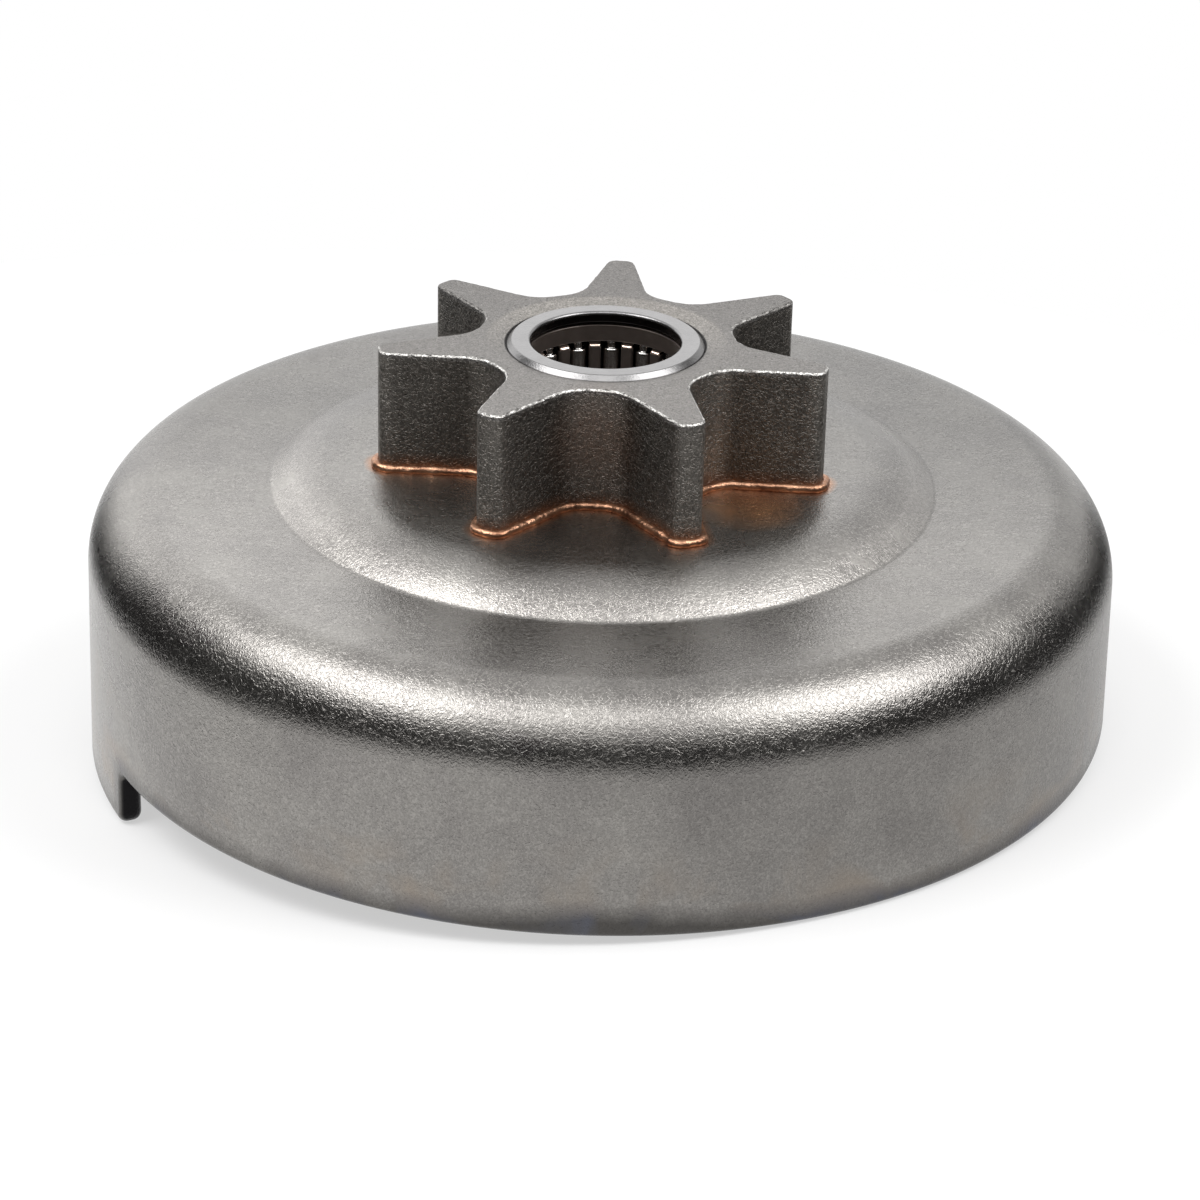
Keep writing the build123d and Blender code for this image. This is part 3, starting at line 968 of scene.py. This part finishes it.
def bearing_steel():
    """Hardened drawn steel with a fine turned lip: a clean satin, with painted shade darkening the groove
    round it and the raceway inside."""
    material, tree, shader, mm = new_finish("satin_bearing_steel", 0.27)
    cloud = add(tree, "TexNoise", {"Vector": mm, "Scale": 0.8, "Detail": 4.0, "Roughness": 0.6})
    tone = add(tree, "Mix", [cloud, linear("#777676"), linear("#868585")], data_type="RGBA")
    z = add(tree, "SeparateXYZ", [mm]).outputs["Z"]
    deep = add(tree, "MapRange", [z, BEARING_TOP - 0.22, BEARING_TOP - 0.3])
    within = add(tree, "MapRange", [axis_distance(tree, mm), RACEWAY_RADIUS + 0.1, RACEWAY_RADIUS])
    outside = add(tree, "MapRange", [z, BEARING_TOP - 0.36, BEARING_TOP - 0.42])
    inside = add(tree, "Math", [deep, within], operation="MULTIPLY")
    dark = add(tree, "Math", [inside, outside], operation="MAXIMUM")
    # Painted shade in the groove round the lip and in the lip's hole down to the raceway
    recess_shaded = add(tree, "Mix", [dark, tone, linear("#2A2726")], data_type="RGBA")
    grit = add(tree, "TexNoise", {"Vector": mm, "Scale": 5.0, "Detail": 3.0})
    bump = add(tree, "Bump", {"Height": grit, "Distance": 0.012 * MM})
    plug(tree, shader, {"Base Color": recess_shaded, "Normal": bump})
    return material


def cage_steel():
    """Phosphated sheet steel under oil: brown-black with a soft sheen, and a pinkish painted highlight
    where the bars bend into the end rings."""
    material, tree, shader, mm = new_finish("phosphated_cage_steel", 0.3)
    cloud = add(tree, "TexNoise", {"Vector": mm, "Scale": 1.1, "Detail": 3.0})
    tone = add(tree, "Mix", [cloud, linear("#4E4641"), linear("#6A605A")], data_type="RGBA")
    z = add(tree, "SeparateXYZ", [mm]).outputs["Z"]
    bend = CAGE_TOP - CAGE_RING - BAR_DROP
    # Painted highlight: a bright, glossier pinkish band where the bars bend into the end rings
    below = add(tree, "MapRange", [z, bend - 0.24, bend - 0.18])
    above = add(tree, "MapRange", [z, bend + 0.02, bend - 0.03])
    bright_share = add(tree, "Math", [below, above], operation="MULTIPLY")
    bright = add(tree, "Mix", [bright_share, tone, linear("#F0DACB")], data_type="RGBA")
    bare = add(tree, "MapRange", [bright_share, 0.0, 1.0, 0.55, 1.0])
    gloss = add(tree, "MapRange", [bright_share, 0.0, 1.0, 0.3, 0.18])
    plug(tree, shader, {"Base Color": bright, "Metallic": bare, "Roughness": gloss})
    return material


def roller_steel():
    """Ground and lapped bearing steel, nearly a mirror, with a trace of oil."""
    material, tree, shader, mm = new_finish("lapped_roller_steel", 0.14)
    film = add(tree, "TexNoise", {"Vector": mm, "Scale": 1.5, "Detail": 2.0})
    tone = add(tree, "Mix", [film, linear("#C4C2BF"), linear("#D6D4D2")], data_type="RGBA")
    plug(tree, shader, {"Base Color": tone})
    return material


def plain_mesh_object(name, corners, faces):
    """A flat stage piece, in millimetres."""
    mesh = bpy.data.meshes.new(name)
    mesh.from_pydata([tuple(c * MM for c in corner) for corner in corners], [], faces)
    return placed(name, mesh)


def seen_directly(tree):
    """1 for the rays that show the background itself: camera, glossy and transmission."""
    path = add(tree, "LightPath")
    rays = [path.outputs[f"Is {kind} Ray"] for kind in ("Camera", "Glossy", "Transmission")]
    mirror = add(tree, "Math", rays[:2], operation="MAXIMUM")
    return add(tree, "Math", [mirror, rays[2]], operation="MAXIMUM")


def floor():
    """Round white table that touches the rim at its front right and the tab's nearer corner."""
    touch = radians(TABLE_TOUCH)
    corner = radians(TAB_ANGLE + 11) - touch
    drop = TAB_DROP / (1 - cos(corner)) + 0.03
    corners = []
    for a in np.radians(np.arange(0, 360, 3)):
        x, y = TABLE_SHIFT + TABLE_RADIUS * cos(a), TABLE_RADIUS * sin(a)
        ahead = (x * cos(touch) + y * sin(touch)) / RIM_RADIUS
        corners.append((x, y, drop * (ahead - 1)))
    table = plain_mesh_object("table", corners, [tuple(range(len(corners)))])
    material = bpy.data.materials.new("white_table")
    material.use_nodes = True
    tree = material.node_tree
    tree.nodes.clear()
    paper = add(tree, "BsdfDiffuse", {"Color": linear("#F4F4F4")})
    x = add(tree, "SeparateXYZ", [add(tree, "TexCoord").outputs["Object"]]).outputs["X"]
    # Glossy rays see the table glow brighter on the left than the right: a painted reflection on the
    # cup's wall
    reflected_glow = add(tree, "MapRange", [x, -60 * MM, 20 * MM, 1.2, 0.78])
    path = add(tree, "LightPath")
    direct, glossy = path.outputs["Is Camera Ray"], path.outputs["Is Glossy Ray"]
    strength = add(tree, "Mix", [direct, reflected_glow, 1.0])
    glow = add(tree, "Emission", {"Color": (1, 1, 1, 1), "Strength": strength})
    share = add(tree, "Math", [direct, TABLE_SHINE, glossy], operation="MULTIPLY_ADD")
    kept = add(tree, "Math", [share, 0.85], operation="MINIMUM")
    both = add(tree, "MixShader", [kept, paper, glow])
    add(tree, "OutputMaterial", {"Surface": both})
    table.data.materials.append(material)


def dark_screens():
    """Dark cloths that are seen only in reflections: one all round the camera's side of the studio, and
    a low card beside each flank of the object, which draws a dark line along its shoulder."""
    material = bpy.data.materials.new("dark_cloth")
    material.use_nodes = True
    tree = material.node_tree
    plug(tree, tree.nodes["Principled BSDF"], {"Base Color": linear("#2B2B2B"), "Roughness": 1.0})
    for name, radius, low, high, first, last in (
        ("dark_cloth_far", 520.0, -400.0, 390.0, -214, 36),
        ("dark_card_right", 84.0, -6.0, 24.0, -35, 40),
        ("dark_card_left", 84.0, -6.0, 18.0, 142, 215),
    ):
        turns = np.radians(np.linspace(first, last, 57))
        corners = [(radius * cos(a), radius * sin(a), z) for z in (low, high) for a in turns]
        count = len(turns)
        faces = [(i, i + 1, count + i + 1, count + i) for i in range(count - 1)]
        screen = plain_mesh_object(name, corners, faces)
        screen.data.materials.append(material)
        screen.visible_camera = False
        screen.visible_diffuse = False
        screen.visible_shadow = False


def softbox(name, place, aim, size, brightness):
    """Area lamp whose face is as many times as bright as white paper."""
    lamp = bpy.data.lights.new(name, "AREA")
    lamp.shape = "RECTANGLE"
    lamp.size, lamp.size_y = (side * MM for side in size)
    lamp.energy = brightness * pi * lamp.size * lamp.size_y
    made = placed(name, lamp)
    made.location = Vector(place) * MM
    made.rotation_euler = (Vector(aim) - Vector(place)).to_track_quat("-Z", "Y").to_euler()


def studio():
    """White surroundings, a softbox high in front, a large one at each side and a wide one behind."""
    world = bpy.data.worlds.new("studio")
    bpy.context.scene.world = world
    world.use_nodes = True
    tree = world.node_tree
    tree.nodes.clear()
    white = add(tree, "Background", {"Color": (1, 1, 1, 1), "Strength": 1.0})
    room = add(tree, "Background", {"Color": (1, 1, 1, 1), "Strength": 0.45})
    both = add(tree, "MixShader", [seen_directly(tree), room, white])
    add(tree, "OutputWorld", {"Surface": both})
    floor()
    dark_screens()
    softbox("softbox_over", (0, -180, 474), aim=(0, 0, 0), size=(190, 200), brightness=2.3)
    softbox("softbox_left", (-268, -66, 430), aim=(0, 0, 10), size=(360, 210), brightness=5.8)
    softbox("softbox_right", (306, -66, 402), aim=(0, 0, 10), size=(280, 290), brightness=5.3)
    softbox("softbox_back", (-170, 550, 275), aim=(0, 0, 20), size=(780, 290), brightness=1.0)


def camera():
    """Camera at the photograph's viewpoint: 25.6 degrees above the rim's plane, 317 mm away."""
    forward = Vector((0, cos(CAMERA_DOWN), -sin(CAMERA_DOWN)))
    across = Vector((1, 0, 0))
    upright = Vector((0, sin(CAMERA_DOWN), cos(CAMERA_DOWN)))
    right = across * cos(CAMERA_ROLL) + upright * sin(CAMERA_ROLL)
    up = upright * cos(CAMERA_ROLL) - across * sin(CAMERA_ROLL)
    eye = Vector(CAMERA_AIM) - forward * CAMERA_DISTANCE
    data = bpy.data.cameras.new("camera")
    data.lens = CAMERA_LENS
    data.sensor_width = 36.0
    data.clip_start = 0.01
    data.clip_end = 10.0
    made = placed("camera", data)
    turned_to = Matrix((right, up, -forward)).transposed().to_4x4()
    made.matrix_world = Matrix.Translation(eye * MM) @ turned_to
    bpy.context.scene.camera = made


def dress():
    """Makes every piece, hides the solids that it stands for and rides it on its body."""
    made = [
        (drum_cup(blasted_steel()), "drum", "drum_cup", "pressed_steel"),
        (sprocket(sintered_steel()), "drum", "sprocket", "sintered_steel"),
        (braze(copper()), "drum", "braze_fillet", "copper_braze"),
        (shell(bearing_steel()), "drum", "bearing_shell", "bearing_steel"),
        (cage(cage_steel()), "cage", "needle_cage", "cage_steel"),
    ]
    lapped = roller_steel()
    for number in range(1, ROLLERS + 1):
        name = f"roller_{number:02d}"
        made.append((needle(number, lapped), name, name, "roller_steel"))
    for part, body, node, finish_slot in made:
        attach(part, body)
        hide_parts(node)


turned = turning_tree()
repeated = repeating_tree()
beaded = bead_tree()

bpy.context.scene.view_settings.view_transform = "Standard"
camera()
studio()
dress()
